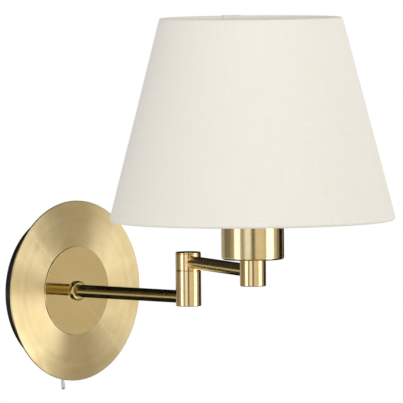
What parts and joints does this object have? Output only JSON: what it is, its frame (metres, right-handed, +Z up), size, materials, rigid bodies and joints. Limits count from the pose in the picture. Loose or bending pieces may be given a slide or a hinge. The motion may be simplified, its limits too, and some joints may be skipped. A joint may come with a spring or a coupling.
{
  "type": "swing arm wall sconce",
  "caption": "Brass swing arm wall sconce: round wall plate with a toggle switch, jointed tube arm, cup lampholder with bulb, and an off-white tapered fabric shade.",
  "frame": {"origin": "centre of the mounting bracket's back face, which lies on the wall", "axes": "+Y into the wall, the lamp standing out along -Y; +Z up; +X to the right as seen from the room"},
  "size_m": [0.2369, 0.3773, 0.3013],
  "materials": {
    "plate_brass": "satin, brushed in circles, lacquered",
    "mirror_brass": "polished, lacquered",
    "arm_brass": "polished, lacquered",
    "knuckle_brass": "fine satin, lacquered",
    "plain_brass": "turned, unlacquered",
    "zinc_steel": "zinc plated",
    "black_steel": "black oxide",
    "nickel": "bright nickel plated",
    "black_moulding": "fine-textured black moulding",
    "switch_moulding": "black moulding",
    "white_moulding": "white moulding",
    "holder_moulding": "white moulding",
    "white_ceramic": "unglazed white ceramic",
    "white_wire": "white powder coat",
    "shade_cloth": "off-white fine cotton weave",
    "shade_backing": "white styrene backing",
    "opal_glass": "white opal, smooth",
    "lead_sheath": "clear-white flexible sheath",
    "core_brown": "brown insulation",
    "core_green": "green and yellow insulation"
  },
  "bodies": {
    "wall_mount": {"mounting_bracket": "zinc_steel", "earth_washer": "zinc_steel", "earth_screw": "plain_brass", "housing": "black_moulding", "side_screws": "black_steel", "front_plate": "plate_brass", "centre_plate": "mirror_brass", "arm_collar": "arm_brass", "wall_lock_washer": "zinc_steel", "wall_nut": "plain_brass", "terminal_block": "white_moulding", "terminal_inserts": "plain_brass", "terminal_screws": "zinc_steel", "block_fixing_screw": "zinc_steel", "switch_body": "switch_moulding", "switch_tags": "nickel", "switch_bush": "nickel", "switch_nut": "nickel", "arm_tube_lower": "arm_brass", "elbow_lower": "knuckle_brass", "elbow_bottom_cap": "knuckle_brass", "stop_pin": "zinc_steel", "thrust_washer": "white_moulding", "lead_lower": "lead_sheath", "lead_switch": "core_brown", "lead_earth": "core_green"},
    "swing_arm": {"elbow_upper": "knuckle_brass", "elbow_top_cap": "knuckle_brass", "elbow_spindle": "plain_brass", "elbow_spring_washer": "zinc_steel", "elbow_nut": "plain_brass", "arm_tube_upper": "arm_brass", "head_block": "knuckle_brass", "head_nipple": "zinc_steel", "socket_cup": "knuckle_brass", "cup_nut": "zinc_steel", "lampholder_base": "holder_moulding", "lampholder_insert": "white_ceramic", "centre_contact": "plain_brass", "lampholder_shell": "nickel", "lampholder_sleeve": "holder_moulding", "shade_ring": "holder_moulding", "shade_spider": "white_wire", "shade_bottom_wire": "white_wire", "shade_top_wire": "white_wire", "shade_fabric": "shade_cloth", "shade_liner": "shade_backing", "bulb_cap": "nickel", "bulb_contact": "switch_moulding", "bulb_glass": "opal_glass", "lead_upper": "lead_sheath"},
    "toggle": {"toggle_lever": "nickel"}
  },
  "joints": [
    {"name": "elbow_swivel", "type": "hinge", "parent": "wall_mount", "child": "swing_arm", "pos_m": [0, -0.144, 0.0211], "axis": [0, 0, 1], "range_deg": [-76, 124]},
    {"name": "toggle_throw", "type": "hinge", "parent": "wall_mount", "child": "toggle", "pos_m": [-0.00698, -0.008, -0.06643], "axis": [0, 1, 0], "range_deg": [0, 26]}
  ]
}
